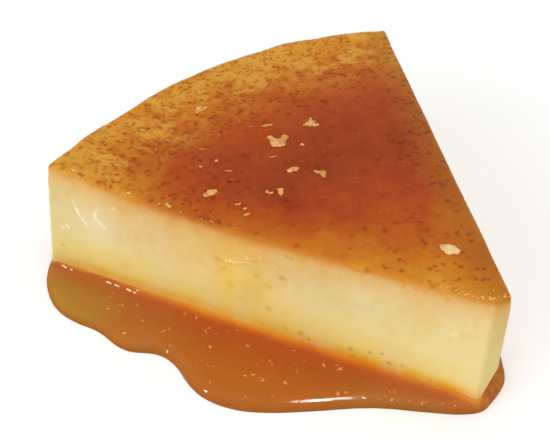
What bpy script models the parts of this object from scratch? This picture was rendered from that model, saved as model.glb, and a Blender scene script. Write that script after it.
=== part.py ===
"""Creme caramel flan: one slice of set custard, standing in a shallow pool of its own caramel syrup.

Metres, +Z up. The slice is cut from a round flan that was turned out of its mould, so it is wider at
its foot. Its front cut lies along X and faces -Y, its point is at +X and its round rim at -X. The
origin is on the surface the flan stands on, at the centre of the whole footprint.

Everything is modelled about the flan's own axis, where the two cuts would meet, and an empty then
carries the finished pieces to the origin.
"""

import math

import bmesh
import bpy
from mathutils import Matrix, Vector

# The whole flan, as it stands after turning out.
TOP_RADIUS = 0.1102
FOOT_RADIUS = 0.1143
HEIGHT = 0.0320
FACETS = 144
CELL = 0.008  # spacing of the extra points that let the straight faces bend
COURSE = 0.004  # the same, up the walls and near the point

# The slice.
SLICE_ANGLE = math.radians(56.7)
POINT_SETBACK = 0.0051  # how far the blunt point's front edge lies from the flan's axis
POINT_REACH = 0.0033  # how far along the second cut the blunt point ends
EDGE_SOFTNESS = 0.0012
SHARPEST_SMOOTH_FOLD = math.radians(30)

# The top: it sinks in the middle of the front cut, and stands up a little at the front rim corner.
SAG = 0.0021
SAG_FROM = 0.005
SAG_TO = 0.101
LIP = 0.0011
LIP_FROM = 0.094
LIP_TO = 0.1085
# How fast each fades from the front cut towards the second one.
SAG_FADE = 1.5
LIP_FADE = 8.0

# Where the knife dragged the foot of the point inwards.
TUCK = 0.0034
TUCK_HEIGHT = 0.0108
TUCK_LENGTH = 0.016

# Unevenness of the rim: angle from the front cut and half-width in degrees, and height in metres.
# All that is within the band of the round wall moves with it.
WALL_BAND = 0.004
RIM_SWELLS = ((0.0, 2.5, 0.0005), (14.0, 4.5, -0.0008), (41.0, 4.0, 0.0008), (55.0, 2.5, -0.0005))

# The pool: its depth, and how far it reaches out from the slice.
SYRUP_DEPTH = 0.0022
SYRUP_ROUNDING = 0.0016
CLEARANCE = 0.0003
CUTTER_OVERRUN = 0.004

# Along the front cut: distance from the axis, and reach in front of the cut, in metres.
FRONT_REACH = (
    (0.1136, 0.0031), (0.1101, 0.0081), (0.1042, 0.0126), (0.0985, 0.0141), (0.0920, 0.0145),
    (0.0830, 0.0170), (0.0752, 0.0151), (0.0705, 0.0163), (0.0650, 0.0200), (0.0603, 0.0220),
    (0.0530, 0.0222), (0.0465, 0.0203), (0.0375, 0.0159), (0.0255, 0.0095), (0.0135, 0.0055),
    (0.0065, 0.0029),
)
# Along the second cut, the same. Below zero it fills in under the tucked foot of the point.
BACK_REACH = (
    (0.0014, -0.0028), (0.0032, -0.0005), (0.0059, 0.0024), (0.0088, 0.0045), (0.0130, 0.0055),
    (0.0260, 0.0066), (0.0400, 0.0052), (0.0560, 0.0063), (0.0720, 0.0082), (0.0880, 0.0066),
    (0.1040, 0.0054),
)
# Round the rim: degrees from the front cut, and reach outside the flan's foot.
RIM_REACH = (
    (55.0, 0.0062), (49.0, 0.0050), (41.0, 0.0055), (33.0, 0.0070), (25.0, 0.0056),
    (17.0, 0.0042), (10.0, 0.0052), (5.0, 0.0042), (2.0, 0.0020),
)

FRONT_NORMAL = Vector((0.0, -1.0, 0.0))
BACK_NORMAL = Vector((math.sin(SLICE_ANGLE), math.cos(SLICE_ANGLE), 0.0))
ALONG_FRONT = Vector((-1.0, 0.0, 0.0))
ALONG_BACK = Vector((-math.cos(SLICE_ANGLE), math.sin(SLICE_ANGLE), 0.0))
POINT_FRONT = ALONG_FRONT * POINT_SETBACK
POINT_BACK = ALONG_BACK * POINT_REACH
POINT_NORMAL = (POINT_BACK - POINT_FRONT).cross(Vector((0.0, 0.0, 1.0))).normalized()


def clear_scene():
    for thing in list(bpy.data.objects):
        bpy.data.objects.remove(thing, do_unlink=True)


def collection_named(name):
    collection = bpy.data.collections.new(name)
    bpy.context.scene.collection.children.link(collection)
    return collection


def add_object(name, mesh, collection):
    piece = bpy.data.objects.new(name, mesh)
    collection.objects.link(piece)
    return piece


def mesh_from(shape, name):
    """A mesh of a finished bmesh, which is freed."""
    bmesh.ops.recalc_face_normals(shape, faces=shape.faces)
    mesh = bpy.data.meshes.new(name)
    shape.to_mesh(mesh)
    shape.free()
    return mesh


def food_material(name, colour, roughness):
    material = bpy.data.materials.new(name)
    material.use_nodes = True
    shader = material.node_tree.nodes["Principled BSDF"]
    shader.inputs["Base Color"].default_value = (*colour, 1.0)
    shader.inputs["Roughness"].default_value = roughness
    shader.inputs["Metallic"].default_value = 0.0
    return material


def cut_away(shape, point, normal):
    """Slices the shape with a plane, keeps the side the normal points away from, and closes the cut."""
    everything = shape.verts[:] + shape.edges[:] + shape.faces[:]
    cut = bmesh.ops.bisect_plane(
        shape, geom=everything, plane_co=point, plane_no=normal, clear_outer=True
    )
    rim = [part for part in cut["geom_cut"] if isinstance(part, bmesh.types.BMEdge)]
    bmesh.ops.contextual_create(shape, geom=rim)


def score(shape, point, normal):
    """Divides the faces along a plane and keeps both sides."""
    everything = shape.verts[:] + shape.edges[:] + shape.faces[:]
    bmesh.ops.bisect_plane(shape, geom=everything, plane_co=point, plane_no=normal)


def steps(first, last, step):
    """Evenly spaced values strictly between first and last, at most step apart."""
    count = math.ceil((last - first) / step)
    return [first + (last - first) * i / count for i in range(1, count)]


def smooth_rise(value, start, end):
    """Goes from 0 at start to 1 at end with level ends."""
    share = min(max((value - start) / (end - start), 0.0), 1.0)
    return share * share * (3.0 - 2.0 * share)


def wall_radius(z):
    return FOOT_RADIUS + (TOP_RADIUS - FOOT_RADIUS) * z / HEIGHT


def swell_rim(shape):
    """Moves the round wall in and out, as turning out of the mould leaves it."""
    for vert in shape.verts:
        radius = vert.co.xy.length
        if radius < wall_radius(vert.co.z) - WALL_BAND:
            continue
        angle = math.degrees(math.atan2(vert.co.y, -vert.co.x))
        swell = sum(
            height * math.exp(-(((angle - middle) / width) ** 2)) for middle, width, height in RIM_SWELLS
        )
        vert.co.xy *= 1.0 + swell / radius


def cut_slice(grow, bottom, top):
    """A sharp-edged slice: a whole flan as a cone, then the two straight cuts and the blunt point."""
    shape = bmesh.new()
    bmesh.ops.create_cone(
        shape,
        cap_ends=True,
        cap_tris=False,
        segments=FACETS,
        radius1=wall_radius(bottom) + grow,
        radius2=wall_radius(top) + grow,
        depth=top - bottom,
        matrix=Matrix.Translation((0.0, 0.0, (top + bottom) / 2.0)),
    )
    cut_away(shape, FRONT_NORMAL * grow, FRONT_NORMAL)
    cut_away(shape, BACK_NORMAL * grow, BACK_NORMAL)
    cut_away(shape, POINT_FRONT + POINT_NORMAL * grow, POINT_NORMAL)
    swell_rim(shape)
    return shape


def soften_edges(shape):
    """Rounds every edge but those of the foot, which stays flat and sharp."""
    folds = [
        edge
        for edge in shape.edges
        if edge.calc_face_angle(0.0) > SHARPEST_SMOOTH_FOLD
        and max(vert.co.z for vert in edge.verts) > EDGE_SOFTNESS
    ]
    bmesh.ops.bevel(shape, geom=folds, offset=EDGE_SOFTNESS, segments=3, profile=0.5, affect="EDGES")


def tuck_point(shape):
    """Draws the foot of the point in on the side of the second cut."""
    for vert in shape.verts:
        beyond = (vert.co - POINT_FRONT).dot(BACK_NORMAL)
        if beyond <= 0.0:
            continue
        from_point = (vert.co - POINT_BACK).dot(ALONG_BACK)
        low = min(max(1.0 - vert.co.z / TUCK_HEIGHT, 0.0), 1.0)
        near = 1.0 - smooth_rise(from_point, 0.0, TUCK_LENGTH)
        width = (POINT_BACK - POINT_FRONT).dot(BACK_NORMAL)
        vert.co -= BACK_NORMAL * TUCK * low * near * min(beyond / width, 1.0)


def top_height(x, y):
    """The height of the slumped top over a place on the footprint."""
    radius = math.hypot(x, y)
    near_front = max(1.0 - math.atan2(y, -x) / SLICE_ANGLE, 0.0)
    along = min(max((radius - SAG_FROM) / (SAG_TO - SAG_FROM), 0.0), 1.0)
    sag = SAG * math.sin(math.pi * along) * near_front**SAG_FADE
    lip = LIP * smooth_rise(radius, LIP_FROM, LIP_TO) * near_front**LIP_FADE
    return HEIGHT + lip - sag


def slump_top(shape):
    for vert in shape.verts:
        vert.co.z *= top_height(vert.co.x, vert.co.y) / HEIGHT


def make_custard_slice(collection):
    shape = cut_slice(grow=0.0, bottom=0.0, top=HEIGHT)
    soften_edges(shape)
    for x in steps(-FOOT_RADIUS, 0.0, CELL):
        score(shape, Vector((x, 0.0, 0.0)), Vector((1.0, 0.0, 0.0)))
    for y in steps(0.0, FOOT_RADIUS * math.sin(SLICE_ANGLE), CELL):
        score(shape, Vector((0.0, y, 0.0)), Vector((0.0, 1.0, 0.0)))
    for z in steps(0.0, HEIGHT, COURSE):
        score(shape, Vector((0.0, 0.0, z)), Vector((0.0, 0.0, 1.0)))
    tuck_point(shape)
    slump_top(shape)
    piece = add_object("custard_slice", mesh_from(shape, "custard_slice"), collection)
    piece.data.materials.append(food_material("set_custard", (0.78, 0.58, 0.27), 0.35))
    piece.data.shade_smooth()
    piece.data.set_sharp_from_angle(angle=SHARPEST_SMOOTH_FOLD)
    return piece


def make_slice_cutter(collection):
    """The foot of the slice, larger all round by the clearance, which leaves its place in the pool."""
    shape = cut_slice(grow=CLEARANCE, bottom=-CUTTER_OVERRUN, top=SYRUP_DEPTH + CUTTER_OVERRUN)
    for x in steps(-TUCK_LENGTH, 0.0, COURSE):
        score(shape, Vector((x, 0.0, 0.0)), Vector((1.0, 0.0, 0.0)))
    tuck_point(shape)
    cutter = add_object("slice_cutter", mesh_from(shape, "slice_cutter"), collection)
    cutter.hide_render = True
    cutter.display_type = "WIRE"
    return cutter


def pool_outline():
    """The pool's edge as points on the ground, along the front cut, the second cut and the rim."""
    outline = [ALONG_FRONT * along + FRONT_NORMAL * reach for along, reach in FRONT_REACH]
    outline += [ALONG_BACK * along + BACK_NORMAL * reach for along, reach in BACK_REACH]
    for degrees, reach in RIM_REACH:
        angle = math.radians(degrees)
        outline.append(Vector((-math.cos(angle), math.sin(angle), 0.0)) * (FOOT_RADIUS + reach))
    return outline


def flat_pool(outline):
    """A slab of syrup inside a smooth closed line through the outline's points, as a welded bmesh."""
    curve = bpy.data.curves.new("pool_outline", "CURVE")
    curve.dimensions = "2D"
    curve.fill_mode = "BOTH"
    curve.resolution_u = 4
    curve.extrude = SYRUP_DEPTH / 2.0
    spline = curve.splines.new("BEZIER")
    spline.bezier_points.add(len(outline) - 1)
    for knot, place in zip(spline.bezier_points, outline):
        knot.co = place
        knot.handle_left_type = "AUTO"
        knot.handle_right_type = "AUTO"
    spline.use_cyclic_u = True
    drawn = add_object("pool_outline", curve, bpy.context.scene.collection)
    graph = bpy.context.evaluated_depsgraph_get()
    mesh = bpy.data.meshes.new_from_object(drawn.evaluated_get(graph))
    shape = bmesh.new()
    shape.from_mesh(mesh)
    bpy.data.objects.remove(drawn, do_unlink=True)
    bpy.data.meshes.remove(mesh)
    bmesh.ops.remove_doubles(shape, verts=shape.verts, dist=0.00005)
    flats = [edge for edge in shape.edges if edge.calc_face_angle(1.0) < 0.001]
    bmesh.ops.dissolve_edges(shape, edges=flats, use_verts=False)
    bmesh.ops.translate(shape, vec=(0.0, 0.0, SYRUP_DEPTH / 2.0), verts=shape.verts)
    return shape


def make_caramel_sauce(collection, cutter):
    shape = flat_pool(pool_outline())
    upper_rim = [
        edge
        for edge in shape.edges
        if edge.calc_face_angle(0.0) > SHARPEST_SMOOTH_FOLD
        and min(vert.co.z for vert in edge.verts) > SYRUP_DEPTH / 2.0
    ]
    bmesh.ops.bevel(
        shape, geom=upper_rim, offset=SYRUP_ROUNDING, segments=3, profile=0.5, affect="EDGES"
    )
    piece = add_object("caramel_sauce", mesh_from(shape, "caramel_sauce"), collection)
    piece.data.materials.append(food_material("caramel_syrup", (0.42, 0.14, 0.02), 0.08))
    piece.data.shade_smooth()
    piece.data.set_sharp_from_angle(angle=SHARPEST_SMOOTH_FOLD)
    hole = piece.modifiers.new("place_of_the_slice", "BOOLEAN")
    hole.operation = "DIFFERENCE"
    hole.solver = "EXACT"
    hole.object = cutter
    return piece


def centre_on_origin(pieces, carried):
    """Hangs everything on one empty, and moves it so that the pieces' common box is centred on X and Y."""
    graph = bpy.context.evaluated_depsgraph_get()
    places = [
        vert.co for piece in pieces for vert in piece.evaluated_get(graph).data.vertices
    ]
    centre = Vector(
        [(min(place[i] for place in places) + max(place[i] for place in places)) / 2.0 for i in (0, 1)]
    )
    carrier = add_object("flan_axis", None, pieces[0].users_collection[0])
    for thing in pieces + carried:
        thing.parent = carrier
    carrier.location = (-centre.x, -centre.y, 0.0)


def main():
    clear_scene()
    parts = collection_named("creme_caramel_flan")
    cutters = collection_named("cutters")
    custard = make_custard_slice(parts)
    cutter = make_slice_cutter(cutters)
    sauce = make_caramel_sauce(parts, cutter)
    centre_on_origin([custard, sauce], [cutter])


main()
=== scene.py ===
# %% [markdown]
# # A slice of creme caramel
#
# A creme caramel is an egg custard that sets in a mould over a layer of caramel. Turned out, the
# caramel is on top: it has stained the custard a deep rust, and what stayed liquid runs down and
# stands round the slice as a shallow pool. We model two big pieces, the custard and the pool, and
# then the small things that make them look like food: pits, crumbs, flecks and beads.
#
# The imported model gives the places. The two CAD solids are loaded first, and each new piece stands
# for one of them or rests on it.

# %% Load the frame
import math

import bmesh
import bpy
import numpy as np
from mathutils import Matrix, Vector, kdtree, noise
from mathutils.bvhtree import BVHTree


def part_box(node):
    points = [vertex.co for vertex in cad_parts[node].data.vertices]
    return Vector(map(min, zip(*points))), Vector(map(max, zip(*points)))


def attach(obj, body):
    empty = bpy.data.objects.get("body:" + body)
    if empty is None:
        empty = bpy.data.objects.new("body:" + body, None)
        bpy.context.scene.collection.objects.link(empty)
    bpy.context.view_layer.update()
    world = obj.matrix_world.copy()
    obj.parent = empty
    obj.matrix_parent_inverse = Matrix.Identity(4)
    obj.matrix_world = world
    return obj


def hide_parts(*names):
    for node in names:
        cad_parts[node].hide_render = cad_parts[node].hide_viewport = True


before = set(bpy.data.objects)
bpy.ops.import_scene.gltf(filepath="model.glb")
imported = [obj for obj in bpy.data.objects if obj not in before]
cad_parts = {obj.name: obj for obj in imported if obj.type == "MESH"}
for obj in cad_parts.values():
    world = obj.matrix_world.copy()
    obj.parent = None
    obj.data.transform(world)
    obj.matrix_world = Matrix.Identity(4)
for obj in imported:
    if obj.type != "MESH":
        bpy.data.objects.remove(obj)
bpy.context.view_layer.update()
MM = 0.001

# %% [markdown]
# Everything on a slice is easiest to say from the place where its two straight cuts would meet, the
# axis of the whole flan. The long front cut runs from there along -X and the second cut runs off at
# an angle, so a place on the slice is a radius from the axis and an angle from the front cut.

# %% Find the flan's axis
slice_low, slice_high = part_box("custard_slice")
pool_low, pool_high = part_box("caramel_sauce")
TOP_RADIUS = 110.2 * MM
FOOT_RADIUS = 114.3 * MM
HEIGHT = 32.0 * MM
AXIS = Vector((slice_low.x + FOOT_RADIUS + 0.5 * MM, slice_low.y, 0.0))
SLICE_ANGLE = math.radians(56.7)
SYRUP_DEPTH = pool_high.z
FRONT_NORMAL = Vector((0.0, -1.0, 0.0))
BACK_NORMAL = Vector((math.sin(SLICE_ANGLE), math.cos(SLICE_ANGLE), 0.0))
ALONG_BACK = Vector((-math.cos(SLICE_ANGLE), math.sin(SLICE_ANGLE), 0.0))
print("axis of the flan in mm:", [round(side / MM, 2) for side in AXIS])

# %% [markdown]
# Every step below works on one piece, so a helper makes that piece the only one selected. The
# loader leaves the CAD solids selected, and an operator acts on all that is selected. Others apply a
# modifier, pick faces or edges by their place, and hand over a piece's points as rows of x, y and z.


# %% Helpers for picking and finishing
def only(piece):
    """Makes this piece the only selected one, and the active one."""
    bpy.ops.object.select_all(action="DESELECT")
    piece.select_set(True)
    bpy.context.view_layer.objects.active = piece


def apply_modifier(piece, kind, **settings):
    """Adds a modifier with these settings and applies it at once."""
    only(piece)
    modifier = piece.modifiers.new(kind.lower(), kind)
    for name, value in settings.items():
        setattr(modifier, name, value)
    bpy.ops.object.modifier_apply(modifier=modifier.name)


def pick(piece, kind, wanted):
    """In edit mode, selects the faces or edges for which wanted is true."""
    bpy.ops.mesh.select_mode(type=kind)
    bpy.ops.mesh.select_all(action="DESELECT")
    shape = bmesh.from_edit_mesh(piece.data)
    parts = shape.faces if kind == "FACE" else shape.edges
    chosen = [part for part in parts if wanted(part)]
    for part in chosen:
        part.select_set(True)
    bmesh.update_edit_mesh(piece.data)
    return len(chosen)


def places(piece):
    """The piece's points as an array of rows x, y, z."""
    spots = np.empty(len(piece.data.vertices) * 3)
    piece.data.vertices.foreach_get("co", spots)
    return spots.reshape(-1, 3)


def put(piece, spots):
    """Moves the piece's points to these rows."""
    piece.data.vertices.foreach_set("co", spots.ravel())
    piece.data.update()


def rise(value, start, end):
    """Goes from 0 at start to 1 at end with level ends."""
    share = np.clip((value - start) / (end - start), 0.0, 1.0)
    return share * share * (3.0 - 2.0 * share)


def waves(spots, size, seed):
    """Smooth noise between about -1 and 1 at each row, with humps of about this size."""
    shift = Vector((seed * 7.31, seed * 3.77, seed * 5.13))
    return np.array([noise.noise(Vector(spot) / size + shift) for spot in spots])


# %% Helpers for lines and near spots
def tree_of(spots):
    """A tree that finds the nearest of these spots, by its number."""
    tree = kdtree.KDTree(len(spots))
    for number, spot in enumerate(spots):
        tree.insert(spot, number)
    tree.balance()
    return tree


def lengths_of(line):
    """How far along the line each of its points lies."""
    return np.concatenate([[0.0], np.cumsum(np.linalg.norm(np.diff(line, axis=0), axis=1))])


def between(line, marks, wanted):
    """The places of the line where its marks, one for each point, would read as wanted."""
    return np.stack([np.interp(wanted, marks, column) for column in line.T], axis=1)


# %% [markdown]
# ## The custard
#
# The custard was once a whole round flan, a little wider at its foot because the mould tapers. A
# cone primitive is that flan, and three planes cut it as a knife would: the front cut, the second
# cut, and the small flat where the point broke off blunt. Bisect with fill closes every cut.

# %% Cut the slice out of a whole flan
POINT_FRONT = AXIS + Vector((-5.1 * MM, 0.0, 0.0))
POINT_BACK = AXIS + ALONG_BACK * 3.3 * MM
POINT_NORMAL = (POINT_BACK - POINT_FRONT).cross(Vector((0.0, 0.0, 1.0))).normalized()

bpy.ops.object.select_all(action="DESELECT")
bpy.ops.mesh.primitive_cone_add(
    vertices=144, radius1=FOOT_RADIUS, radius2=TOP_RADIUS, depth=HEIGHT,
    location=AXIS + Vector((0.0, 0.0, HEIGHT / 2)),
)
custard = bpy.context.object
custard.name = "set_custard"
bpy.ops.object.transform_apply(location=True, rotation=True, scale=True)
bpy.ops.object.mode_set(mode="EDIT")
for point, normal in ((AXIS, FRONT_NORMAL), (AXIS, BACK_NORMAL), (POINT_FRONT, POINT_NORMAL)):
    bpy.ops.mesh.select_all(action="SELECT")
    bpy.ops.mesh.bisect(plane_co=point, plane_no=normal, use_fill=True, clear_outer=True)
print("faces after the three cuts:", len(bmesh.from_edit_mesh(custard.data).faces))

# %% [markdown]
# Set custard has no sharp edges: it gives under the knife and slumps. A bevel rounds every edge but
# those of the foot, which rests flat and stays crisp.

# %% Round the edges
EDGE_SOFTNESS = 0.8 * MM
rounded = pick(
    custard, "EDGE",
    lambda edge: edge.calc_face_angle(0.0) > math.radians(30)
    and max(vert.co.z for vert in edge.verts) > EDGE_SOFTNESS,
)
bpy.ops.mesh.bevel(offset=EDGE_SOFTNESS, segments=4, profile=0.5, affect="EDGES")
bpy.ops.object.mode_set(mode="OBJECT")
print("edges rounded:", rounded)

# %% [markdown]
# The long thin faces of a cut cone can't bend. A voxel remesh gives the custard an even skin of
# small squares, like clay ready to be pushed about, and a little smoothing takes out its steps. The
# top is smoothed more, because caramel dissolved its edges and they are rounder than the cuts.
# The underside never shows, so its squares are dissolved into one flat face again.

# %% Give it an even skin
SKIN_SQUARE = 0.6 * MM
FLAT_FOOT = 0.45 * MM
apply_modifier(custard, "REMESH", mode="VOXEL", voxel_size=SKIN_SQUARE)
apply_modifier(custard, "SMOOTH", factor=0.5, iterations=3)
skin = places(custard)
softness = rise(skin[:, 2], HEIGHT - 4.0 * MM, HEIGHT - 1.0 * MM)
soft_top = custard.vertex_groups.new(name="soft_top")
for number in np.nonzero(softness > 0.01)[0]:
    soft_top.add([int(number)], float(softness[number]), "REPLACE")
apply_modifier(custard, "SMOOTH", factor=0.5, iterations=12, vertex_group="soft_top")
skin = places(custard)
skin[:, 2] = np.where(skin[:, 2] < FLAT_FOOT, 0.0, skin[:, 2])
put(custard, skin)
bpy.ops.object.mode_set(mode="EDIT")
pick(custard, "FACE", lambda face: max(vert.co.z for vert in face.verts) < 0.01 * MM)
bpy.ops.mesh.dissolve_faces(use_verts=False)
bpy.ops.object.mode_set(mode="OBJECT")
print("points in the skin:", len(custard.data.vertices))


# %% [markdown]
# The caramel side is full of burst bubbles near the rim and along the second cut, so the skin needs
# smaller squares there. One function says how many pits a square millimetre holds, and it is used
# twice: to choose the squares that are divided, and to scatter the pits.


# %% Where the pits crowd
def polar(spots):
    """Radius from the axis and angle from the front cut, in metres and degrees."""
    x = AXIS.x - spots[:, 0]
    y = spots[:, 1] - AXIS.y
    return np.hypot(x, y), np.degrees(np.arctan2(y, x))


def from_second_cut(spots):
    """How far each row lies in from the second cut."""
    return -(spots[:, 0] - AXIS.x) * BACK_NORMAL.x - (spots[:, 1] - AXIS.y) * BACK_NORMAL.y


def pits_per_square_mm(spots):
    """How thickly the pits stand at each row, by the rim, its left end, the second cut and the point."""
    radius, angle = polar(spots)
    rim = 0.36 * rise(radius, 74 * MM, 97 * MM)
    left = 0.2 * rise(radius, 56 * MM, 88 * MM) * (1.0 - rise(angle, 8, 24))
    second = 0.27 * rise(radius, 22 * MM, 66 * MM) * (1.0 - rise(from_second_cut(spots), 2 * MM, 13 * MM))
    point = 0.06 * (1.0 - rise(radius, 25 * MM, 42 * MM))
    return 0.02 + np.maximum.reduce([rim, left, second, point])


# %% [markdown]
# On the front cut a few bubbles burst too, most of them low down, and the blade dragged thin pale
# curls along it. A burst bubble is given by how far from the axis and how high up it is, and how wide.
# A curl is a bent line, given by its width and its corners, and turned into spots close together, all
# in mm. The squares of the skin round all those spots are divided as well.

# %% List the marks of the front cut
CUT_MARKS = (
    (50.4, 4.9, 0.4), (46.6, 5.0, 0.7), (44.6, 3.8, 0.45), (34.5, 5.0, 0.65), (29.9, 6.1, 0.5),
    (27.1, 7.0, 0.4), (25.3, 4.7, 0.6), (22.3, 5.4, 0.4), (33.6, 3.4, 0.5), (49.1, 27.2, 0.55),
    (24.1, 29.0, 0.5), (21.6, 29.4, 0.4), (14.9, 29.2, 0.45), (88.0, 18.6, 0.6), (109.6, 8.8, 0.5),
    (64.3, 13.4, 1.1), (54.6, 16.4, 1.0), (51.2, 20.2, 1.0), (54.6, 9.6, 0.8), (66.8, 20.0, 1.0),
    (57.5, 19.0, 0.8), (66.0, 18.0, 0.9), (50.5, 27.3, 0.45), (49.2, 26.9, 0.4),
)
CURLS = (
    (0.46, (104.6, 25.0), (103.9, 22.6), (103.2, 20.4), (101.9, 18.8), (101.4, 17.4)),
    (0.46, (98.0, 24.0), (98.7, 22.6), (98.8, 21.2), (97.9, 20.1), (96.4, 18.9), (94.6, 17.2)),
    (0.36, (93.3, 26.6), (93.1, 25.5)), (0.40, (80.9, 15.4), (80.7, 14.7)),
    (0.45, (108.9, 15.3), (108.6, 14.7)), (0.42, (107.6, 16.0), (107.0, 15.4)),
    (0.48, (57.9, 26.9), (57.0, 26.9), (56.3, 26.3)),
    (0.46, (61.2, 23.6), (59.4, 23.2), (57.8, 23.4), (56.6, 24.2), (56.5, 25.0)),
    (0.50, (63.1, 28.8), (61.9, 28.2), (61.6, 27.2), (62.2, 26.0)),
    (0.45, (62.9, 24.0), (62.3, 23.5)), (0.34, (63.3, 29.4), (62.7, 29.3)),
    (0.34, (60.6, 29.4), (59.8, 29.5)), (0.40, (57.5, 25.6), (57.1, 25.0), (56.3, 24.9)),
    (0.48, (65.6, 20.4), (63.0, 20.9), (60.4, 21.6), (58.6, 22.3)),
    (0.40, (66.6, 20.8), (66.4, 19.4), (65.6, 18.2)), (0.36, (53.2, 24.2), (52.6, 23.6)),
    (0.34, (52.6, 24.0), (52.4, 23.0)), (0.40, (47.6, 26.2), (47.2, 25.9)),
    (0.36, (46.2, 28.7), (45.7, 28.3)), (0.95, (12.4, 20.2), (12.1, 19.6)),
)


def along_curl(size, corners):
    """Spots close together along a bent line, thinner towards both ends."""
    corners = np.array(corners)
    lengths = lengths_of(corners)
    stations = np.arange(0.0, lengths[-1] + 0.1, 0.25)
    sizes = size * (1.0 - 0.5 * (2.0 * stations / lengths[-1] - 1.0) ** 2)
    return np.column_stack([between(corners, lengths, stations), sizes])


CURL_SPOTS = np.concatenate([along_curl(size, corners) for size, *corners in CURLS])
print("burst bubbles:", len(CUT_MARKS), "spots along the curls:", len(CURL_SPOTS))

# %% Divide the squares
mark_tree = tree_of([AXIS + Vector((-x, 0.0, z)) * MM for x, z, size in (*CUT_MARKS, *CURL_SPOTS)])
FACING = 0.6
CROWDED = 0.07
MARK_REACH = 2.2 * MM


def to_divide(face):
    """Whether pits crowd on this square of the top, or a mark or curl is near it on the front cut."""
    middle = face.calc_center_median()
    if face.normal.z > FACING:
        return pits_per_square_mm(np.array([middle]))[0] > CROWDED
    return face.normal.y < -FACING and mark_tree.find(middle)[2] < MARK_REACH


bpy.ops.object.mode_set(mode="EDIT")
pitted = pick(custard, "FACE", to_divide)
bpy.ops.mesh.subdivide(number_cuts=1)
bpy.ops.object.mode_set(mode="OBJECT")
print("squares divided for pits:", pitted, "points now:", len(custard.data.vertices))

# %% [markdown]
# Now the skin is pushed about in code, with the same sizes as the solid: the rim swells in and out
# where it stuck to the mould, the foot of the point is drawn in by the knife, and the top sinks
# along the middle of the front cut and stands up a little at the rim corner.

# %% Swell, tuck and slump
# Each swell of the rim: the angle of its middle, its width in degrees and its height in mm.
RIM_SWELLS = ((0.0, 2.5, 0.5), (14.0, 4.5, -0.8), (41.0, 4.0, 0.8), (55.0, 2.5, -0.5))
SAG, LIP, BRIM = 2.1 * MM, 0.7 * MM, 0.45 * MM
TUCK_DEPTH, TUCK_HEIGHT, TUCK_LENGTH = 3.4 * MM, 10.8 * MM, 16 * MM


def top_height(spots):
    """The height of the slumped top over each row."""
    radius, angle = polar(spots)
    near_front = np.maximum(1.0 - np.radians(angle) / SLICE_ANGLE, 0.0)
    along = np.clip((radius - 5 * MM) / (96 * MM), 0.0, 1.0)
    sag = SAG * np.sin(np.pi * along) * near_front**1.5
    lip = LIP * rise(radius, 94 * MM, 108.5 * MM) * near_front**8
    brim = BRIM * rise(radius, 101 * MM, 109 * MM)
    return HEIGHT + lip + brim - sag


skin = places(custard)
radius, angle = polar(skin)
wall = FOOT_RADIUS + (TOP_RADIUS - FOOT_RADIUS) * skin[:, 2] / HEIGHT
swell = sum(h * MM * np.exp(-(((angle - middle) / width) ** 2)) for middle, width, h in RIM_SWELLS)
bumps = (0.4 * MM * waves(skin, 6 * MM, 6) - 0.1 * MM) * rise(skin[:, 2], 14 * MM, 30 * MM)
swell += bumps * rise(angle, 1, 6)
swell = np.where(radius > wall - 4 * MM, swell * rise(radius, wall - 4 * MM, wall - 1 * MM), 0.0)
outward = (skin[:, :2] - np.array(AXIS.xy)) / np.maximum(radius, MM)[:, None]
skin[:, :2] += outward * swell[:, None]

back_normal = np.array(BACK_NORMAL)
beyond = (skin - np.array(POINT_FRONT)) @ back_normal
point_width = (POINT_BACK - POINT_FRONT).dot(BACK_NORMAL)
low = np.clip(1.0 - skin[:, 2] / TUCK_HEIGHT, 0.0, 1.0)
near = 1.0 - rise((skin - np.array(POINT_BACK)) @ np.array(ALONG_BACK), 0.0, TUCK_LENGTH)
tuck = TUCK_DEPTH * low * near * np.clip(beyond / point_width, 0.0, 1.0)
skin -= tuck[:, None] * back_normal
skin[:, 2] *= top_height(skin) / HEIGHT
put(custard, skin)
print("custard stands", round(skin[:, 2].max() / MM, 2), "mm high")

# %% [markdown]
# A cut face of custard is soft and never quite flat: the blade leaves shallow upright waves, and the
# top ripples where the caramel dissolved it. Smooth noise moves each point a fraction of a
# millimetre, across the face that it is on, and fades out at the foot.

# %% Soft unevenness
RIPPLES = ((0.16, 13, 1), (0.07, 4, 2))
BLADE_WAVES = ((0.22, 16, 3), (0.06, 5, 4))
HOLLOWED = 0.15 * MM


def unevenness(spots, humps):
    """Noise at each row from humps, each given by its height and width in mm and its seed."""
    return sum(height * MM * waves(spots, width * MM, seed) for height, width, seed in humps)


only(custard)
normals = np.empty(len(custard.data.vertices) * 3)
custard.data.vertices.foreach_get("normal", normals)
normals = normals.reshape(-1, 3)
skin = places(custard)
up = np.clip(normals[:, 2], 0.0, 1.0)
below_top = np.maximum(top_height(skin) - skin[:, 2], 0.0)

blade = unevenness(skin * np.array([1.0, 1.0, 0.25]), BLADE_WAVES) - HOLLOWED
on_top = rise(up, 0.2, 0.9)
heave = unevenness(skin, RIPPLES) * on_top + blade * (1.0 - on_top)
heave *= rise(skin[:, 2], 0.0, 4 * MM)
skin += normals * heave[:, None]
skin[:, 1] = np.maximum(skin[:, 1], slice_low.y)
skin[:, 2] = np.clip(skin[:, 2], 0.0, slice_high.z)
put(custard, skin)
print("unevenness up to", round(np.abs(heave).max() / MM, 2), "mm")
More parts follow.
